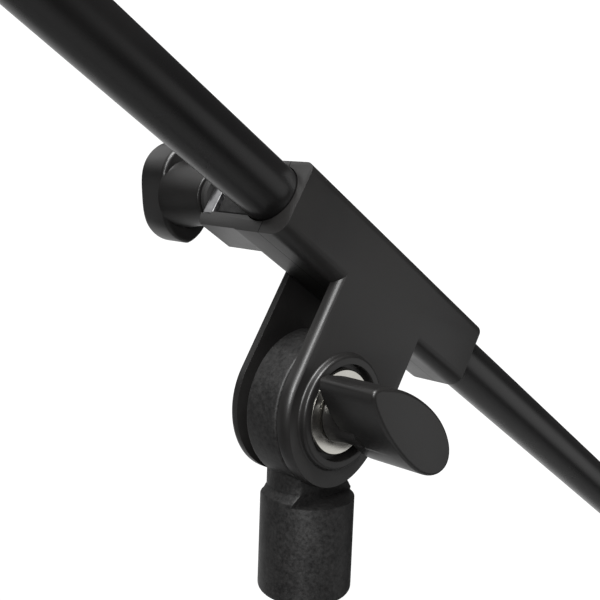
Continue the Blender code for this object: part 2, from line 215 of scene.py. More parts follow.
def bumped(tree, shader, height, distance, strength=1.0):
    node = tree.nodes.new("ShaderNodeBump")
    node.inputs["Distance"].default_value = distance
    node.inputs["Strength"].default_value = strength
    tree.links.new(height, node.inputs["Height"])
    tree.links.new(node.outputs["Normal"], shader.inputs["Normal"])


def parting_line(tree, coords, y):
    """1 on the witness line that a split mould leaves in a plane of constant y, 0 elsewhere."""
    split = tree.nodes.new("ShaderNodeSeparateXYZ")
    tree.links.new(coords, split.inputs["Vector"])
    near = tree.nodes.new("ShaderNodeMath")
    near.operation = "COMPARE"
    near.inputs[1].default_value = y
    near.inputs[2].default_value = 0.00012
    tree.links.new(split.outputs["Y"], near.inputs[0])
    return near.outputs["Value"]


def painted_casting():
    mat, tree, shader, coords = new_material("painted_casting", (0.02, 0.02, 0.021), 0.4)
    cloud = noise(tree, coords, 60, 4)
    pits = noise(tree, coords, 900, 2)
    tint = blended(tree, spread(tree, cloud, 0, 1), (0.016, 0.016, 0.017), (0.028, 0.028, 0.029))
    tree.links.new(tint, shader.inputs["Base Color"])
    tree.links.new(spread(tree, cloud, 0.34, 0.50), shader.inputs["Roughness"])
    bumped(tree, shader, pits, 0.00006, 0.6)
    return mat


CASTING = painted_casting()


def hub_shape():
    core = [(HUB_BORE, 0.095), (0.0205, 0.095)]
    core += arc((0.0248, 0.1035), 0.0025, -60, 0, 4)
    core += arc((0.0258, HUB_FLOOR_Z - 0.0015), 0.0015, 0, 90, 4)
    core += arc((0.0230, HUB_FLOOR_Z + 0.0015), 0.0015, 270, 180, 4)
    core += arc((0.0185, 0.1655), 0.0030, 0, 90, 6)
    core += [(HUB_BORE, 0.1685)]
    cheeks = []
    for joint in LEG_JOINTS:
        pivot = Vector(joint["pos_m"])
        reach = math.hypot(pivot.x, pivot.y)
        outline = [(0.0175, 0.112), (0.0275, 0.112)]
        outline += arc((reach, pivot.z), 0.0105, -110, 80, 20)
        outline += [(0.030, 0.152), (0.0175, 0.158)]
        turn = Matrix.Rotation(math.atan2(pivot.y, pivot.x), 4, "Z")
        for low, high in ((-CHEEK_OUT, -CHEEK_SLOT), (CHEEK_SLOT, CHEEK_OUT)):
            cheeks.append(("UNION", placed(plate(outline, low, high), turn)))
    return softened(carved(turned(core), cheeks), 0.0006)


piece("hub_casting", hub_shape(), CASTING, "base", ["base_hub"])


# ---- Leg base: legs, hinge pins and feet ---------------------------------------------------
# Each leg is a cast knuckle plugged into a powder-coated steel tube, with a moulded rubber
# foot pushed on its end and cut flat on the floor. A zinc-plated pin holds it in its cheeks.

LEG_TUBE_R = 0.008
KNUCKLE_HALF = 0.004
RUBBER_FOOT_R = 0.0125
LEG_LENGTH = 0.330


def powder_coat():
    mat, tree, shader, coords = new_material("powder_coat", (0.006, 0.006, 0.006), 0.28)
    peel = noise(tree, coords, 1100, 2, 0.45)
    cloud = noise(tree, coords, 26, 3)
    drift = spread(tree, cloud, 0, 1)
    tint = blended(tree, drift, (0.0048, 0.0046, 0.0048), (0.0075, 0.0072, 0.0072))
    tree.links.new(tint, shader.inputs["Base Color"])
    tree.links.new(spread(tree, cloud, 0.24, 0.31), shader.inputs["Roughness"])
    bumped(tree, shader, peel, 0.00002, 0.5)
    return mat


def zinc_plate():
    mat, tree, shader, coords = new_material("zinc_plate", (0.42, 0.42, 0.43), 0.35, 1.0)
    spangle = noise(tree, coords, 500, 3)
    tint = blended(tree, spread(tree, spangle, 0, 1), (0.34, 0.34, 0.35), (0.50, 0.50, 0.51))
    tree.links.new(tint, shader.inputs["Base Color"])
    tree.links.new(spread(tree, spangle, 0.28, 0.46), shader.inputs["Roughness"])
    bumped(tree, shader, noise(tree, coords, 2200, 2), 0.00002, 0.4)
    return mat


def soft_rubber():
    mat, tree, shader, coords = new_material("soft_rubber", (0.016, 0.016, 0.016), 0.8)
    dust = noise(tree, coords, 180, 5, 0.6)
    tint = blended(tree, spread(tree, dust, 0, 1), (0.013, 0.013, 0.013), (0.026, 0.025, 0.024))
    tree.links.new(tint, shader.inputs["Base Color"])
    tree.links.new(spread(tree, dust, 0.68, 0.88), shader.inputs["Roughness"])
    bumped(tree, shader, noise(tree, coords, 1600, 2), 0.00008, 0.5)
    return mat


COATED = powder_coat()
ZINC = zinc_plate()
RUBBER = soft_rubber()

# A lathe profile about Z is turned to lie along X or Y.
ALONG_X = Matrix(((0, 0, 1, 0), (1, 0, 0, 0), (0, 1, 0, 0), (0, 0, 0, 1)))
ALONG_Y = Matrix(((1, 0, 0, 0), (0, 0, 1, 0), (0, 1, 0, 0), (0, 0, 0, 1)))


def block(x, y, z):
    """A block between pairs of limits."""
    return plate([(x[0], z[0]), (x[1], z[0]), (x[1], z[1]), (x[0], z[1])], y[0], y[1])


def tube_shape(outer, wall, low, high, lip=0.0003, steps=96):
    inner = outer - wall
    profile = [(inner, low), (outer - lip, low), (outer, low + lip)]
    profile += [(outer, high - lip), (outer - lip, high), (inner, high)]
    return turned(profile, steps)


def knuckle_shape():
    outline = arc((0.002, 0), 0.0078, 90, 180, 10) + [(-0.0105, -0.0035), (-0.0105, -0.0078)]
    outline = [(0.0185, 0.0078)] + outline + [(0.0185, -0.0078)]
    tongue = plate(outline, -KNUCKLE_HALF, KNUCKLE_HALF)
    shank = [(0, 0.0165), (0.0072, 0.0165)] + arc((0.0071, 0.0173), 0.0008, -90, 0, 3)
    shank += arc((0.0071, 0.0207), 0.0008, 0, 90, 3)
    shank += [(0.0065, 0.0215), (0.0065, 0.046), (0, 0.046)]
    eye = turned([(0, -0.01), (0.0033, -0.01), (0.0033, 0.01), (0, 0.01)], 32)
    steps = [("UNION", placed(turned(shank, 48), ALONG_X)), ("DIFFERENCE", placed(eye, ALONG_Y))]
    return softened(carved(tongue, steps), 0.0005)


def pin_shape():
    head = CHEEK_OUT + 0.0003
    half = [(0.0030, head)] + arc((0.0040, head + 0.0005), 0.0005, -90, 0, 2)
    half += arc((0.0033, head + 0.0006), 0.0012, 0, 90, 5) + [(0, head + 0.0018)]
    mirrored = [(r, -z) for r, z in reversed(half)]
    return placed(turned(mirrored + half, 40), ALONG_Y)


def foot_shape(slope, pivot_height):
    start, end, r = LEG_LENGTH - 0.030, LEG_LENGTH + 0.012, RUBBER_FOOT_R
    profile = [(0, start)] + arc((r - 0.0022, start + 0.0012), 0.0012, -90, 0, 4)
    for ring in range(3):
        z = start + 0.007 + ring * 0.0055
        profile += [(r - 0.0010, z - 0.0012), (r - 0.0018, z - 0.0006), (r - 0.0018, z + 0.0006)]
        profile += [(r - 0.0010, z + 0.0012)]
    profile += [(r, end - 0.014)] + arc((r - 0.003, end - 0.003), 0.003, 0, 90, 6) + [(0, end)]
    socket = [(0, start - 0.01), (LEG_TUBE_R + 0.0002, start - 0.01)]
    socket += [(LEG_TUBE_R + 0.0002, LEG_LENGTH - 0.0035), (0, LEG_LENGTH - 0.0035)]
    floor = block((-0.06, 0.06), (-0.03, 0.03), (-0.03, 0))
    placed(floor, Matrix.Rotation(-slope, 4, "Y"))
    drop = LEG_LENGTH * math.tan(slope) - pivot_height / math.cos(slope)
    placed(floor, Matrix.Translation((LEG_LENGTH, 0, drop)))
    steps = [("DIFFERENCE", placed(turned(socket, 48), ALONG_X)), ("DIFFERENCE", floor)]
    return softened(carved(placed(turned(profile, 64), ALONG_X), steps), 0.0005, angle=50)


for number, joint in enumerate(LEG_JOINTS, 1):
    pivot = Vector(joint["pos_m"])
    low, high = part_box(f"leg_tube_{number}")
    middle = (low + high) / 2 - pivot
    slope = math.atan2(-middle.z, math.hypot(middle.x, middle.y))
    heading = math.atan2(pivot.y, pivot.x)
    at_leg = Matrix.Translation(pivot) @ Matrix.Rotation(heading, 4, "Z")
    at_leg = at_leg @ Matrix.Rotation(slope, 4, "Y")
    body = joint["child"]
    piece(
        f"leg_knuckle_cast_{number}", placed(knuckle_shape(), at_leg), CASTING, body,
        [f"leg_knuckle_{number}"],
    )
    tube = placed(tube_shape(LEG_TUBE_R, 0.0012, 0.022, LEG_LENGTH - 0.004, steps=64), ALONG_X)
    piece(
        f"leg_tube_coated_{number}", placed(tube, at_leg), COATED, body,
        [f"leg_tube_{number}"],
    )
    piece(
        f"leg_foot_moulded_{number}", placed(foot_shape(slope, pivot.z), at_leg), RUBBER,
        body, [f"leg_foot_{number}"],
    )
    at_pin = Matrix.Translation(pivot) @ Matrix.Rotation(heading, 4, "Z")
    piece(
        f"leg_pin_plated_{number}", placed(pin_shape(), at_pin), ZINC, "base",
        [f"leg_pin_{number}"],
    )


# ---- Upright: lower tube and its plug ------------------------------------------------------
# Steel tube of 25 mm, powder coated, pressed through the hub; a rubber plug closes its foot.

LOWER_R = 0.0125
LOWER_WALL = 0.0015
lower_foot, lower_top = (corner.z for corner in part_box("lower_tube"))

piece(
    "lower_tube_coated", tube_shape(LOWER_R, LOWER_WALL, lower_foot, lower_top, steps=128), COATED,
    "base", ["lower_tube"],
)


def plug_shape():
    low, high = (corner.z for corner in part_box("tube_plug"))
    rim = lower_foot - 0.0003
    profile = [(0, low)] + arc((LOWER_R - 0.0015, low + 0.0015), 0.0015, -90, 0, 5)
    profile += [(LOWER_R, rim - 0.0003), (LOWER_R - 0.0003, rim)]
    for ring in range(3):
        z = rim + 0.002 + ring * 0.003
        profile += [(LOWER_R - 0.0024, z), (LOWER_R - 0.0018, z + 0.001)]
        profile += [(LOWER_R - 0.0024, z + 0.002)]
    return turned(profile + [(LOWER_R - 0.0026, high), (0, high)], 64)


piece("tube_plug_moulded", plug_shape(), RUBBER, "base", ["tube_plug"])


# ---- Upright: height clutch ----------------------------------------------------------------
# Moulded sleeve, split nylon collet and ribbed grip. Turning the grip squeezes the collet
# on the upper tube. The grip's flutes are soft-edged, for a wet hand.

GRIP_R = 0.0190
GRIP_FLUTES = 18
FLUTE_R = 0.0013
clutch_low, clutch_high = (corner.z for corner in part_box("clutch_grip"))


def moulded_black():
    mat, tree, shader, coords = new_material("moulded_black", (0.012, 0.0115, 0.011), 0.36)
    grain = noise(tree, coords, 1900, 2, 0.5)
    flow = noise(tree, coords, 45, 4, 0.55)
    drift = spread(tree, flow, 0, 1)
    tint = blended(tree, drift, (0.0080, 0.0077, 0.0077), (0.0128, 0.0122, 0.0118))
    line = parting_line(tree, coords, -0.0022)
    marked = blended(tree, line, (0, 0, 0), (0.0015, 0.0015, 0.0015))
    tree.links.new(tint, marked.node.inputs["A"])
    tree.links.new(marked, shader.inputs["Base Color"])
    tree.links.new(spread(tree, line, 0.5, 0.05, 0, 1), shader.inputs["Specular IOR Level"])
    tree.links.new(spread(tree, flow, 0.31, 0.41), shader.inputs["Roughness"])
    bumped(tree, shader, grain, 0.00005, 0.5)
    return mat


def nylon():
    mat, tree, shader, coords = new_material("nylon", (0.045, 0.045, 0.047), 0.5)
    flow = noise(tree, coords, 120, 3)
    tint = blended(tree, spread(tree, flow, 0, 1), (0.038, 0.038, 0.040), (0.056, 0.056, 0.058))
    tree.links.new(tint, shader.inputs["Base Color"])
    tree.links.new(spread(tree, flow, 0.44, 0.58), shader.inputs["Roughness"])
    bumped(tree, shader, noise(tree, coords, 1500, 2), 0.00004, 0.4)
    return mat


BLACK = moulded_black()
NYLON = nylon()


def sleeve_shape():
    low, high = (corner.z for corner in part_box("clutch_body"))
    bore = LOWER_R + 0.0003
    profile = [(bore, low)] + arc((0.0153, low + 0.0012), 0.0012, -90, 0, 5)
    profile += arc((0.0155, high - 0.0130), 0.0010, 0, 90, 4) + [(0.0148, high - 0.0120)]
    for turn in range(6):
        z = high - 0.0108 + turn * 0.0016
        profile += [(0.0148, z), (0.0142, z + 0.0004), (0.0142, z + 0.0008), (0.0148, z + 0.0012)]
    return turned(profile + [(0.0146, high), (bore, high)], 96)


def collet_shape():
    low, high = (corner.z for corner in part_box("clutch_collet"))
    bore, rest = 0.0098, lower_top + 0.0003
    profile = [(bore, low), (0.0105, low), (0.0107, low + 0.0003), (0.0107, rest), (0.0120, rest)]
    profile += [(0.0122, rest + 0.0003), (0.0122, rest + 0.0177), (0.0103, high), (bore, high)]
    ring = turned(profile, 72)
    slits = []
    for i in range(2):
        slit = block((-0.02, 0.02), (-0.0005, 0.0005), (rest + 0.004, high + 0.01))
        slits.append(("DIFFERENCE", placed(slit, Matrix.Rotation(math.pi / 2 * i, 4, "Z"))))
    return carved(ring, slits)


def grip_shape():
    low, high = clutch_low, clutch_high
    outer = [(0.0151, low)] + arc((GRIP_R - 0.0013, low + 0.0010), 0.0010, -90, 0, 4)
    outer += arc((GRIP_R - 0.0024, high - 0.0130), 0.0024, 0, 60, 6)
    outer += arc((0.0130, high - 0.0036), 0.0036, 55, 90, 4)
    outer += [(0.0106, high), (0.0100, high - 0.0006), (0.0100, high - 0.015)]
    outer += [(0.0110, high - 0.020)]
    outer += [(0.0129, high - 0.029), (0.0129, low + 0.012), (0.0151, low + 0.012)]
    groove = [(0, low + 0.004), (0.0010, low + 0.004), (FLUTE_R, low + 0.0053)]
    groove += [(FLUTE_R, high - 0.0165), (0.0006, high - 0.0145), (0, high - 0.0145)]
    reach = GRIP_R + 0.0004
    flutes = []
    for i in range(GRIP_FLUTES):
        angle = 2 * math.pi * i / GRIP_FLUTES
        at_rim = Matrix.Translation((reach * math.cos(angle), reach * math.sin(angle), 0))
        flutes.append(("DIFFERENCE", placed(turned(groove, 16), at_rim)))
    return softened(carved(turned(outer, 108), flutes), 0.0003, angle=40, segments=2)


piece("clutch_sleeve_moulded", sleeve_shape(), BLACK, "base", ["clutch_body"])
piece("clutch_collet_split", collet_shape(), NYLON, "collet", ["clutch_collet"])
piece("clutch_grip_fluted", grip_shape(), BLACK, "clutch_grip", ["clutch_grip"])


# ---- Upright: upper tube and the stud in its end -------------------------------------------
# A 19 mm powder-coated tube; the brass stud pressed into its top screws the head on.

UPPER_R = 0.0095
M8_PITCH = 0.00125
upper_low, upper_high = (corner.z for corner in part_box("upper_tube"))


def brass():
    mat, tree, shader, coords = new_material("turned_brass", (0.55, 0.42, 0.18), 0.32, 1.0)
    cloud = noise(tree, coords, 300, 3)
    tint = blended(tree, spread(tree, cloud, 0, 1), (0.48, 0.36, 0.15), (0.60, 0.46, 0.20))
    tree.links.new(tint, shader.inputs["Base Color"])
    tree.links.new(spread(tree, cloud, 0.25, 0.40), shader.inputs["Roughness"])
    bumped(tree, shader, noise(tree, coords, 2600, 2), 0.00002, 0.4)
    return mat


BRASS = brass()


def threaded(radius, low, high, pitch, depth=0.0005):
    """A screw thread's ridges along Z as a profile, from low to high."""
    points, z = [(radius - depth, low)], low + pitch * 0.25
    while z + pitch < high:
        points += [(radius - depth, z), (radius, z + 0.35 * pitch)]
        points += [(radius, z + 0.5 * pitch), (radius - depth, z + 0.85 * pitch)]
        z += pitch
    return points + [(radius - depth, high)]


def stud_shape():
    low, high = (corner.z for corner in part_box("head_stud"))
    plug = UPPER_R - 0.0012 - 0.0003
    profile = [(0, low), (plug - 0.0004, low), (plug, low + 0.0004), (plug, upper_high)]
    return turned(profile + threaded(0.005, upper_high, high, M8_PITCH) + [(0, high)], 64)


piece(
    "upper_tube_coated", tube_shape(UPPER_R, 0.0012, upper_low, upper_high, steps=128), COATED,
    "upright", ["upper_tube"],
)
piece("head_stud_threaded", stud_shape(), BRASS, "upright", ["head_stud"])


# ---- Swivel head: disc, neck and socket ----------------------------------------------------
# One charcoal moulding in fibre-filled nylon. The disc stands on a short neck; the socket
# below it is cut back on both sides so that the ears can swing past.

PIVOT = Vector(JOINTS["boom_tilt"]["pos_m"])
AT_PIVOT = Matrix.Translation(PIVOT)
DISC_R = 0.0246
NEAR_FACE, FAR_FACE = -0.0082, 0.0050
NECK_R = 0.0138
SOCKET_R = 0.0157
LEDGE_Z = -0.0308
socket_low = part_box("pivot_head")[0].z - PIVOT.z


def charcoal_moulding():
    mat, tree, shader, coords = new_material("charcoal_moulding", (0.03, 0.029, 0.028), 0.58)
    mottle = noise(tree, coords, 760, 5, 0.7)
    flow = noise(tree, coords, 150, 4, 0.6)
    mixed = tree.nodes.new("ShaderNodeMath")
    mixed.operation = "MULTIPLY"
    tree.links.new(spread(tree, mottle, 0.35, 1.0), mixed.inputs[0])
    tree.links.new(spread(tree, flow, 0.6, 1.0), mixed.inputs[1])
    tint = blended(tree, mixed.outputs["Value"], (0.0040, 0.0039, 0.0041), (0.0165, 0.0160, 0.0157))
    tree.links.new(tint, shader.inputs["Base Color"])
    sheen = spread(tree, mixed.outputs["Value"], 0.26, 0.72, 0.3, 0.9)
    tree.links.new(sheen, shader.inputs["Specular IOR Level"])
    tree.links.new(spread(tree, mottle, 0.44, 0.62), shader.inputs["Roughness"])
    bumped(tree, shader, noise(tree, coords, 1300, 3, 0.6), 0.00010, 0.6)
    return mat


CHARCOAL = charcoal_moulding()


def rod_shape(radius, low, high, steps=96):
    return turned([(0, low), (radius, low), (radius, high), (0, high)], steps)


def section_along_x(outline, low, high):
    """A (y, z) outline extruded along X."""
    turn = Matrix(((0, 1, 0, 0), (1, 0, 0, 0), (0, 0, 1, 0), (0, 0, 0, 1)))
    return placed(plate(outline, low, high), turn)


def neck_shape(low, high):
    """The neck's round plan with its two flats, each running into the round over a soft corner."""
    sides = []
    for flat, soft in ((0.00815, 0.0035), (0.0091, 0.0015)):
        middle = (math.sqrt((NECK_R - soft) ** 2 - (flat - soft) ** 2), flat - soft)
        meets = math.degrees(math.atan2(middle[1], middle[0]))
        sides.append(arc(middle, soft, meets, 90, 8))
    near, far = sides
    right = [(x, -y) for x, y in reversed(near)]
    start, end = (math.degrees(math.atan2(y, x)) for x, y in (right[-1], far[0]))
    right += arc((0, 0), NECK_R, start, end, 12)[1:-1] + far
    outline = right + [(-x, y) for x, y in reversed(right)]
    upright = Matrix(((1, 0, 0, 0), (0, 0, 1, 0), (0, 1, 0, 0), (0, 0, 0, 1)))
    return placed(plate(outline, low, high), upright)


def head_shape():
    disc = [(0.0048, NEAR_FACE + 0.0011), (0.0162, NEAR_FACE + 0.0011), (0.0162, NEAR_FACE)]
    disc += arc((DISC_R - 0.0009, NEAR_FACE + 0.0009), 0.0009, -90, 0, 5)
    disc += arc((DISC_R - 0.0009, FAR_FACE - 0.0009), 0.0009, 0, 90, 5)
    disc += [(0.0048, FAR_FACE)]
    socket = [(0, socket_low)] + arc((SOCKET_R - 0.0024, socket_low + 0.0024), 0.0024, -80, 0, 6)
    socket += [(SOCKET_R, -0.0300)] + arc((SOCKET_R - 0.0012, -0.0300), 0.0012, 0, 55, 4)
    socket += [(NECK_R + 0.0001, -0.0270), (0, -0.0270)]
    wide = (-0.02, 0.02)
    near = [(-0.02, LEDGE_Z), (-0.0064, LEDGE_Z), (NEAR_FACE, -0.0250), (NEAR_FACE, -0.010)]
    near += [(-0.02, -0.010)]
    steps = [
        ("UNION", turned(socket, 128)),
        ("UNION", neck_shape(-0.032, -0.0165)),
        ("DIFFERENCE", section_along_x(near, *wide)),
        ("DIFFERENCE", block(wide, (0.0091, 0.02), (LEDGE_Z, -0.010))),
        ("DIFFERENCE", rod_shape(UPPER_R + 0.0003, -0.070, -0.0357, 96)),
        ("DIFFERENCE", rod_shape(0.0053, -0.040, -0.0270, 48)),
    ]
    return softened(carved(placed(turned(disc, 160), ALONG_Y), steps), 0.0005, segments=3)


piece(
    "pivot_head_moulded", placed(head_shape(), AT_PIVOT), CHARCOAL, "upright",
    ["pivot_head"],
)


# ---- Tilting clamp: the housing ------------------------------------------------------------
# The clamp and its two ears are one black nylon moulding, bored for the rod. The near ear's
# rim is rolled in, with a raised collar round its recess; a channel holds the rod's jaw.

along_boom = Vector(JOINTS["boom_slide"]["axis"])
SLOPE = math.atan2(-along_boom.z, along_boom.x)
AT_CLAMP = AT_PIVOT @ Matrix.Rotation(SLOPE, 4, "Y")
BOOM_RISE = 0.047
BOOM_R = 0.0095
CLAMP_X = (-0.055, 0.057)
CLAMP_Z = (0.0335, 0.0585)
HALF_Y = 0.0125
EAR_R = 0.0242
NEAR_EAR_INNER = -0.0085
FAR_EAR_INNER = 0.0094
COLLAR_R = 0.0187
COLLAR_PROUD = 0.0024
RECESS_R = 0.0158
CHANNEL_END = -0.0415
CHANNEL_BACK = 0.0265
CHANNEL_Z = (0.0387, 0.0553)
SCREW_X = -0.049


def ear_outline(shrink, fullness):
    """The ear's outline: its rolled rim fades towards the free end, which is a little fuller."""
    outline = []
    for i in range(73):
        degrees = 180 + 2.5 * i
        fade = 1 - 0.7 * min(1.0, max(0.0, (degrees - 215) / 50))
        full = fullness * math.exp(-(((degrees - 300) / 32) ** 2))
        radius = EAR_R + full - shrink * fade
        a = math.radians(degrees)
        outline.append((radius * math.cos(a), radius * math.sin(a)))
    return outline + [(outline[-1][0], 0.040), (outline[0][0], 0.040)]


def ear_shape(inner, outer, roll, depth, fullness):
    """A strip with a round end; its rim rolls in by roll towards the outer face, over depth."""
    side = 1 if outer > inner else -1
    rims = [(inner, 0.0)]
    for share in (0.0, 0.2, 0.4, 0.55, 0.7, 0.82, 0.93):
        y = outer - side * depth * (0.93 - share)
        rims.append((y, roll * (1 - math.sqrt(1 - share * share))))
    bm = bmesh.new()
    rings = []
    for y, shrink in rims:
        rings.append([bm.verts.new((x, y, z)) for x, z in ear_outline(shrink, fullness)])
    for ring, above in zip(rings, rings[1:]):
        for i, corner in enumerate(ring):
            bm.faces.new((ring[i - 1], corner, above[i], above[i - 1]))
    bm.faces.new(rings[0])
    bm.faces.new(rings[-1])
    bmesh.ops.recalc_face_normals(bm, faces=bm.faces)
    return bm


def housing_shape():
    low, high = CLAMP_Z
    section = arc((HALF_Y - 0.0035, high - 0.0035), 0.0035, 0, 90, 8)
    section += arc((-HALF_Y + 0.0035, high - 0.0035), 0.0035, 90, 180, 8)
    section += arc((-HALF_Y + 0.0050, low + 0.0050), 0.0050, 180, 270, 10)
    section += arc((HALF_Y - 0.0055, low + 0.0055), 0.0055, 270, 360, 10)
    boss = [(0.004, low + 0.0003), (CHANNEL_BACK - 0.0026, low + 0.0003)]
    boss += [(CHANNEL_BACK - 0.0010, low + 0.0014), (CHANNEL_BACK, low + 0.0050)]
    boss += [(CHANNEL_BACK, high - 0.0010), (0.004, high - 0.0003)]
    face = -HALF_Y - COLLAR_PROUD
    collar = [(0, face)] + arc((COLLAR_R - 0.0011, face + 0.0011), 0.0011, -90, 0, 6)
    collar += arc((COLLAR_R + 0.0011, -HALF_Y - 0.0009), 0.0010, 180, 90, 6)
    collar += [(COLLAR_R + 0.0011, -HALF_Y + 0.001), (0, -HALF_Y + 0.001)]
    open_end = (CLAMP_X[0] - 0.002, CHANNEL_END)
    wide = (CHANNEL_Z[0] - 0.0008, CHANNEL_Z[1] + 0.0008)
    bore = rod_shape(BOOM_R + 0.0003, CLAMP_X[0] - 0.01, CLAMP_X[1] + 0.01, 128)
    steps = [
        ("UNION", ear_shape(NEAR_EAR_INNER, -HALF_Y, 0.0026, 0.0036, 0.0012)),
        ("UNION", ear_shape(FAR_EAR_INNER, HALF_Y, 0.0012, 0.0014, 0.0)),
        ("UNION", section_along_x(boss, CLAMP_X[0], CHANNEL_END + 0.0010)),
        ("UNION", placed(turned(collar, 144), ALONG_Y)),
        ("DIFFERENCE", placed(placed(bore, ALONG_X), Matrix.Translation((0, 0, BOOM_RISE)))),
        ("DIFFERENCE", block(open_end, (0.004, CHANNEL_BACK + 0.002), CHANNEL_Z)),
        ("DIFFERENCE", block(open_end, (0.0217, CHANNEL_BACK + 0.002), wide)),
        ("DIFFERENCE", placed(rod_shape(RECESS_R, face - 0.003, -HALF_Y + 0.0010, 144), ALONG_Y)),
        ("DIFFERENCE", placed(rod_shape(0.0043, -0.03, 0.03, 48), ALONG_Y)),
        ("DIFFERENCE", placed(rod_shape(0.0078, HALF_Y - 0.0012, HALF_Y + 0.006, 6), ALONG_Y)),
    ]
    return softened(carved(section_along_x(section, *CLAMP_X), steps), 0.0005, segments=3)


piece(
    "clamp_housing_moulded", placed(housing_shape(), AT_CLAMP), BLACK, "boom_clamp",
    ["clamp_housing"],
)


# ---- Tilting clamp: bolt, washers and wing knob --------------------------------------------
# The bolt's hex head is trapped in the far ear. The wing knob, moulded over a brass insert,
# draws up on a dull plated washer that sits in the near ear's recess.

WING = (0.048, 0.0187, -0.0200, -0.0420)
WING_TURN = math.radians(3.8)
WASHER_R = 0.014
BOLT_R = 0.004
WASHER_BACK = -HALF_Y + 0.0010 - 0.0003


def plated_steel():
    mat, tree, shader, coords = new_material("plated_steel", (0.62, 0.60, 0.54), 0.22, 1.0)
    stain = noise(tree, coords, 240, 4, 0.6)
    tint = blended(tree, spread(tree, stain, 0, 1), (0.78, 0.76, 0.70), (0.90, 0.88, 0.82))
    tree.links.new(tint, shader.inputs["Base Color"])
    tree.links.new(spread(tree, stain, 0.16, 0.27), shader.inputs["Roughness"])
    bumped(tree, shader, noise(tree, coords, 2400, 2), 0.00001, 0.5)
    return mat


STEEL = plated_steel()


def bolt_shape():
    end, head = WING[3] + 0.010, HALF_Y - 0.0009
    shank = [(0, end)] + threaded(BOLT_R, end, -0.013, M8_PITCH)
    shank += [(BOLT_R, -0.0125), (BOLT_R, head)]
    shank += [(0.0042, head), (0.0042, HALF_Y + 0.0045), (0, HALF_Y + 0.0045)]
    hexagon = placed(rod_shape(0.0074, head, HALF_Y + 0.0043, 6), ALONG_Y)
    return carved(placed(turned(shank, 48), ALONG_Y), [("UNION", softened(hexagon, 0.0003))])


def washer_shape(outer, inner, low, high, edge):
    profile = [(inner, low), (outer - edge, low), (outer, low + edge), (outer, high - edge)]
    profile += [(outer - edge, high), (inner, high)]
    return placed(turned(profile, 128), ALONG_Y)


def blunted(outline, tip, cut=0.0045, steps=12):
    """Swaps an outline's point at x = tip for a round nose that reaches as far."""
    kept = [point for point in outline if point[0] > tip + cut]
    first, last = kept[0], kept[-1]
    ahead = (2 * tip - (first[0] + last[0]) / 2, (first[1] + last[1]) / 2)
    nose = []
    for i in range(1, steps):
        t = i / steps
        nose.append(tuple(
            last[k] * (1 - t) ** 2 + ahead[k] * 2 * t * (1 - t) + first[k] * t * t for k in (0, 1)
        ))
    return kept + nose


def leaf(length, width, steps=24):
    """A wing's outline: one slim end, one blunt end, the long axis along X."""
    half = length / 2
    edges = []
    for share, peak, slim in ((0.54, 0.08 * length, 0.625), (-0.46, 0.19 * length, 0.8)):
        edge = []
        for i in range(2 * steps + 1):
            x = -half * math.cos(math.pi * i / (2 * steps))
            reach = peak + half if x < peak else half - peak
            power = slim if x < peak else 0.5
            edge.append((x, share * width * max(0.0, 1 - ((x - peak) / reach) ** 2) ** power))
        edges.append(edge)
    upper, lower = edges
    return blunted(lower[:-1] + upper[:0:-1], -half)


def wing_shape():
    length, width, near, far = WING
    wing = plate(leaf(length, width), far, near)
    wing = softened(wing, 0.0012, angle=60, segments=5)
    neck_end = WASHER_BACK - 0.0019
    neck = [(0, near - 0.006), (0.0088, near - 0.006), (0.0090, near + 0.001)]
    neck += arc((0.0090, neck_end - 0.0008), 0.0008, 0, 90, 4) + [(0, neck_end)]
    steps = [
        ("UNION", placed(turned(neck, 96), ALONG_Y)),
        ("DIFFERENCE", placed(rod_shape(0.0062, far + 0.008, 0.0, 48), ALONG_Y)),
    ]
    return placed(carved(wing, steps), Matrix.Rotation(WING_TURN, 4, "Y"))


def insert_shape():
    low, high = WING[3] + 0.0085, WASHER_BACK - 0.0029
    profile = [(0.0043, low), (0.0059, low), (0.0059, high - 0.0003), (0.0056, high)]
    profile += [(0.0043, high)]
    return placed(turned(profile, 64), ALONG_Y)


piece(
    "tilt_bolt_plated", placed(bolt_shape(), AT_CLAMP), ZINC, "boom_clamp",
    ["tilt_bolt"],
)
near_washer = washer_shape(0.0158, 0.0048, -0.0082, -0.0074, 0.0002)
piece(
    "friction_washer_nylon_near", placed(near_washer, AT_CLAMP), NYLON, "boom_clamp",
    ["friction_washer_near"],
)
far_washer = washer_shape(0.0158, 0.0048, 0.0053, 0.0091, 0.0004)
piece(
    "friction_washer_nylon_far", placed(far_washer, AT_CLAMP), NYLON, "boom_clamp",
    ["friction_washer_far"],
)
washer = washer_shape(WASHER_R, 0.0046, WASHER_BACK - 0.0016, WASHER_BACK, 0.0004)
piece(
    "knob_washer_plated", placed(washer, AT_CLAMP), STEEL, "knob_washer",
    ["knob_washer"],
)
piece(
    "tilt_knob_wing", placed(wing_shape(), AT_CLAMP), BLACK, "tilt_knob",
    ["tilt_knob"],
)
piece(
    "tilt_knob_brass", placed(insert_shape(), AT_CLAMP), BRASS, "tilt_knob",
    ["tilt_knob_insert"],
)


# ---- Rod lock: jaw, nut plate, screw and knob ----------------------------------------------
# The screw runs through a square plated nut held in the channel and pushes the moulded jaw
# against the rod. Its knob is a rounded bar on a conical hub, with a rubber ring behind it.

AT_SCREW = AT_CLAMP @ Matrix.Translation((SCREW_X, 0, BOOM_RISE))
BAR_LENGTH = 0.0335
BAR_WIDTH = 0.0206
BAR_Y = (0.0450, 0.0578)
BAR_TURN = math.radians(52.6)
RING_Y = (CHANNEL_BACK + 0.0003, CHANNEL_BACK + 0.0030)
slot_x = (CLAMP_X[0] + 0.0005 - SCREW_X, CHANNEL_END - 0.0003 - SCREW_X)
slot_z = (CHANNEL_Z[0] + 0.0003 - BOOM_RISE, CHANNEL_Z[1] - 0.0003 - BOOM_RISE)


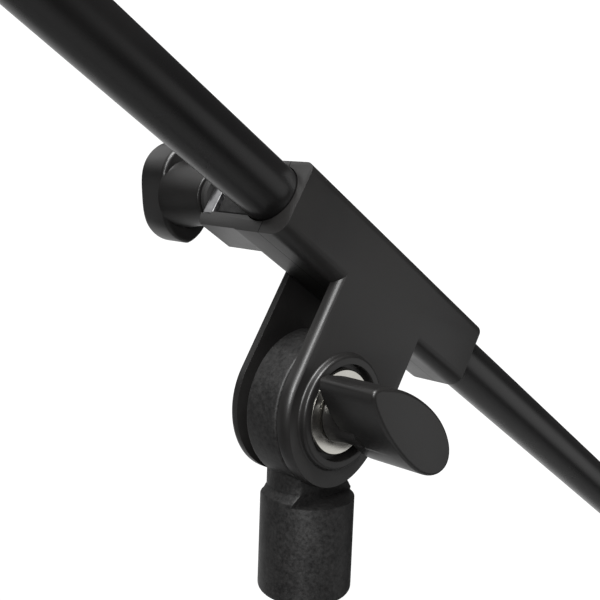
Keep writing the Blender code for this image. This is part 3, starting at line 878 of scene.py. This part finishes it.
def jaw_shape():
    jaw = softened(block(slot_x, (0.0050, 0.0200), slot_z), 0.0006)
    hollow = placed(rod_shape(BOOM_R + 0.0003, -0.02, 0.02, 128), ALONG_X)
    return softened(carved(jaw, [("DIFFERENCE", hollow)]), 0.0002, angle=40, segments=2)


def nut_plate_shape():
    square = block(slot_x, (0.0220, 0.0264), (slot_z[0] - 0.0008, slot_z[1] + 0.0008))
    hole = placed(rod_shape(0.0043, 0.01, 0.04, 48), ALONG_Y)
    return carved(softened(square, 0.0004), [("DIFFERENCE", hole)])


def screw_shape():
    tip, end = 0.0203, BAR_Y[0] + 0.006
    profile = [(0, tip), (0.0030, tip), (0.0034, tip + 0.0005)]
    profile += threaded(BOLT_R, tip + 0.0008, RING_Y[1], M8_PITCH)
    profile += [(BOLT_R, RING_Y[1] + 0.0005), (BOLT_R, end), (0, end)]
    return placed(turned(profile, 48), ALONG_Y)


def bar_outline(steps=40):
    """Full sides that draw in to slim round ends, the long axis along X."""
    side = []
    for i in range(steps + 1):
        x = -math.cos(math.pi * i / steps)
        side.append((BAR_LENGTH / 2 * x, BAR_WIDTH / 2 * (1 - abs(x) ** 3.2) ** 0.714))
    return [(x, -z) for x, z in side[:-1]] + side[:0:-1]


def bar_knob_shape():
    near, far = BAR_Y
    bar = softened(plate(bar_outline(), near, far), 0.0018, angle=60, segments=6)
    placed(bar, Matrix.Rotation(BAR_TURN, 4, "Y"))
    start = RING_Y[1] + 0.0003
    hub = [(0, start), (0.0078, start)] + arc((0.0078, start + 0.0008), 0.0008, -90, 0, 4)
    hub += [(0.0090, start + 0.0030), (0.0100, start + 0.0080), (0.0112, near - 0.0005)]
    hub += [(0.0118, near + 0.001), (0, near + 0.001)]
    steps = [
        ("UNION", placed(turned(hub, 96), ALONG_Y)),
        ("DIFFERENCE", placed(rod_shape(0.0043, 0.0, near + 0.0065, 48), ALONG_Y)),
    ]
    return carved(bar, steps)


piece(
    "clamp_jaw_moulded", placed(jaw_shape(), AT_SCREW), CHARCOAL, "clamp_jaw",
    ["clamp_jaw"],
)
piece(
    "clamp_nut_plated", placed(nut_plate_shape(), AT_SCREW), ZINC, "boom_clamp",
    ["clamp_nut_plate"],
)
piece(
    "clamp_screw_plated", placed(screw_shape(), AT_SCREW), ZINC, "clamp_knob",
    ["clamp_screw"],
)
ring = washer_shape(0.0080, 0.0043, *RING_Y, 0.0007)
piece("clamp_ring_rubber", placed(ring, AT_SCREW), RUBBER, "clamp_ring", ["clamp_ring"])
piece(
    "clamp_knob_bar", placed(bar_knob_shape(), AT_SCREW), BLACK, "clamp_knob",
    ["clamp_knob"],
)


# ---- Boom: the rod and its two ends --------------------------------------------------------
# A 19 mm powder-coated tube. A moulded collar carries the microphone stud at the upper end,
# and a rubber cap closes the lower one.

AT_BOOM = AT_CLAMP @ Matrix.Translation((0, 0, BOOM_RISE)) @ ALONG_X
BOOM_UP, BOOM_DOWN = -0.470, 0.427
BOOM_BORE = BOOM_R - 0.0012


def cap_shape():
    end = BOOM_DOWN + 0.0003
    plug = BOOM_BORE - 0.0003
    profile = [(0, end - 0.018), (plug - 0.0003, end - 0.018), (plug, end - 0.016), (plug, end)]
    profile += [(BOOM_R + 0.0005, end), (BOOM_R + 0.0008, end + 0.0003)]
    profile += arc((BOOM_R - 0.0012, end + 0.0030), 0.0020, 0, 90, 6) + [(0, end + 0.0050)]
    return turned(profile, 96)


def mic_stud_shape():
    tip = BOOM_UP - 0.0003
    profile = [(0, tip - 0.024), (0.0040, tip - 0.024)]
    profile += threaded(0.00476, tip - 0.0236, tip - 0.0085, 0.0016, 0.0007)
    profile += [(0.0050, tip - 0.0080), (0.0090, tip - 0.0075), (0.0090, tip)]
    profile += [(BOOM_BORE - 0.0003, tip), (BOOM_BORE - 0.0003, tip + 0.020), (0, tip + 0.020)]
    return turned(profile, 80)


def tip_collar_shape():
    tip = BOOM_UP - 0.0003
    profile = [(BOOM_R + 0.0003, tip + 0.030), (BOOM_R + 0.0012, tip + 0.030)]
    profile += [(BOOM_R + 0.0022, tip + 0.0265), (BOOM_R + 0.0022, tip - 0.0090)]
    profile += arc((BOOM_R + 0.0010, tip - 0.0093), 0.0012, 0, -90, 5)
    profile += [(0.0056, tip - 0.0105), (0.0056, tip - 0.0080), (BOOM_R + 0.0003, tip - 0.0080)]
    return turned(profile, 96)


rod = tube_shape(BOOM_R, 0.0012, BOOM_UP, BOOM_DOWN, steps=144)
piece("boom_rod_coated", placed(rod, AT_BOOM), COATED, "boom", ["boom_tube"])
piece("boom_cap_rubber", placed(cap_shape(), AT_BOOM), RUBBER, "boom", ["boom_end_cap"])
piece(
    "microphone_stud_threaded", placed(mic_stud_shape(), AT_BOOM), ZINC, "boom",
    ["microphone_stud"],
)
piece(
    "boom_tip_moulded", placed(tip_collar_shape(), AT_BOOM), BLACK, "boom",
    ["boom_tip_collar"],
)


# ---- Floor, light and camera ---------------------------------------------------------------
# A pale floor under soft light from above, with a white surround.

FLOOR_R = 2.1


def pale_floor():
    """White painted board; what the stand mirrors of it is a smaller, darker patch underneath."""
    mat, tree, shader, coords = new_material("pale_floor", (0.9, 0.9, 0.9), 0.7)
    cloud = noise(tree, coords, 3)
    path = tree.nodes.new("ShaderNodeLightPath")
    seen = path.outputs["Is Camera Ray"]
    tint = blended(tree, spread(tree, cloud, 0, 1), (0.88, 0.88, 0.88), (0.91, 0.91, 0.91))
    mirrored = blended(tree, seen, (0.22, 0.22, 0.22), (0.9, 0.9, 0.9))
    tree.links.new(tint, mirrored.node.inputs["B"])
    tree.links.new(mirrored, shader.inputs["Base Color"])
    reach = tree.nodes.new("ShaderNodeVectorMath")
    reach.operation = "LENGTH"
    tree.links.new(coords, reach.inputs[0])
    wide = spread(tree, reach.outputs["Value"], 1.0, 0.0, 1.4, FLOOR_R - 0.05)
    narrow = spread(tree, reach.outputs["Value"], 1.0, 0.0, 0.55, 1.25)
    alpha = tree.nodes.new("ShaderNodeMix")
    tree.links.new(seen, alpha.inputs["Factor"])
    tree.links.new(narrow, alpha.inputs["A"])
    tree.links.new(wide, alpha.inputs["B"])
    tree.links.new(alpha.outputs["Result"], shader.inputs["Alpha"])
    return mat


floor_bm = bmesh.new()
bmesh.ops.create_circle(floor_bm, cap_ends=True, segments=128, radius=FLOOR_R)
floor = as_object(floor_bm, "studio_floor")
floor.data.materials.append(pale_floor())

scene = bpy.context.scene
scene.view_settings.view_transform = "Standard"
scene.view_settings.look = "None"


# Soft lights of the surround: azimuth, elevation, strength, and the angles where each starts
# and ends to fade.
LOBES = (
    (62, -30, 0.95, 22, 48),
    (-43, -15, 0.74, 11, 27),
    (124, 40, 0.85, 12, 28),
    (134, -16, 0.40, 9, 27),
    (85, 42, 1.10, 12, 30),
    (44, -6, 1.20, 8, 20),
    (-137, 36, 1.30, 8, 28),
)
DIM = 0.05


def surround():
    """White to the eye; the light it gives comes from a few soft patches in a dim room."""
    world = bpy.data.worlds.new("studio")
    world.use_nodes = True
    tree = world.node_tree
    tree.nodes.clear()
    out = tree.nodes.new("ShaderNodeOutputWorld")
    seen = tree.nodes.new("ShaderNodeBackground")
    seen.inputs["Color"].default_value = (1, 1, 1, 1)
    seen.inputs["Strength"].default_value = 1.1
    lit = tree.nodes.new("ShaderNodeBackground")
    coords = tree.nodes.new("ShaderNodeTexCoord")
    total = None
    for azimuth, elevation, strength, inner, outer in LOBES:
        a, e = math.radians(azimuth), math.radians(elevation)
        facing = tree.nodes.new("ShaderNodeVectorMath")
        facing.operation = "DOT_PRODUCT"
        facing.inputs[1].default_value = (
            math.cos(a) * math.cos(e), math.sin(a) * math.cos(e), math.sin(e)
        )
        tree.links.new(coords.outputs["Generated"], facing.inputs[0])
        low, high = math.cos(math.radians(outer)), math.cos(math.radians(inner))
        glow = spread(tree, facing.outputs["Value"], 0.0, strength, low, high)
        glow.node.interpolation_type = "SMOOTHSTEP"
        add = tree.nodes.new("ShaderNodeMath")
        add.operation = "ADD"
        add.inputs[1].default_value = DIM
        tree.links.new(glow, add.inputs[0])
        if total:
            tree.links.new(total, add.inputs[1])
        total = add.outputs["Value"]
    tree.links.new(total, lit.inputs["Strength"])
    path = tree.nodes.new("ShaderNodeLightPath")
    mix = tree.nodes.new("ShaderNodeMixShader")
    tree.links.new(path.outputs["Is Camera Ray"], mix.inputs["Fac"])
    tree.links.new(lit.outputs["Background"], mix.inputs[1])
    tree.links.new(seen.outputs["Background"], mix.inputs[2])
    tree.links.new(mix.outputs["Shader"], out.inputs["Surface"])
    return world


scene.world = surround()


def softbox(name, azimuth, elevation, distance, size, power):
    """A soft box aimed at the head; size is its width and height."""
    lamp = bpy.data.lights.new(name, "AREA")
    lamp.shape = "RECTANGLE"
    lamp.size, lamp.size_y = size
    lamp.energy = power
    box = bpy.data.objects.new(name, lamp)
    scene.collection.objects.link(box)
    a, e = math.radians(azimuth), math.radians(elevation)
    away = Vector((math.cos(a) * math.cos(e), math.sin(a) * math.cos(e), math.sin(e)))
    box.location = PIVOT + distance * away
    box.rotation_euler = away.to_track_quat("Z", "Y").to_euler()
    box.visible_camera = False
    return box


softbox("window_softbox", -142, 27, 1.6, (0.22, 0.9), 24)
softbox("top_softbox", -122, 62, 1.6, (0.7, 0.5), 22)

sun = bpy.data.lights.new("overhead", "SUN")
sun.energy = 2.4
sun.angle = math.radians(40)
overhead = bpy.data.objects.new("overhead", sun)
scene.collection.objects.link(overhead)
overhead.rotation_euler = (math.radians(12), math.radians(-8), 0)

VIEW_AZIMUTH, VIEW_ELEVATION, VIEW_ROLL = (math.radians(a) for a in (-46.46, 8.92, 2.12))
PIVOT_IN_VIEW = Vector((0.00357, -0.03400, -0.32812))
camera_data = bpy.data.cameras.new("camera")
camera_data.sensor_width = 36
camera_data.lens = 60
camera_data.clip_start = 0.01
camera = bpy.data.objects.new("camera", camera_data)
scene.collection.objects.link(camera)
looking = Matrix.Rotation(VIEW_AZIMUTH, 4, "Z")
looking = looking @ Matrix.Rotation(math.pi / 2 - VIEW_ELEVATION, 4, "X")
looking = looking @ Matrix.Rotation(VIEW_ROLL, 4, "Z")
camera.matrix_world = Matrix.Translation(PIVOT - looking @ PIVOT_IN_VIEW) @ looking
scene.camera = camera
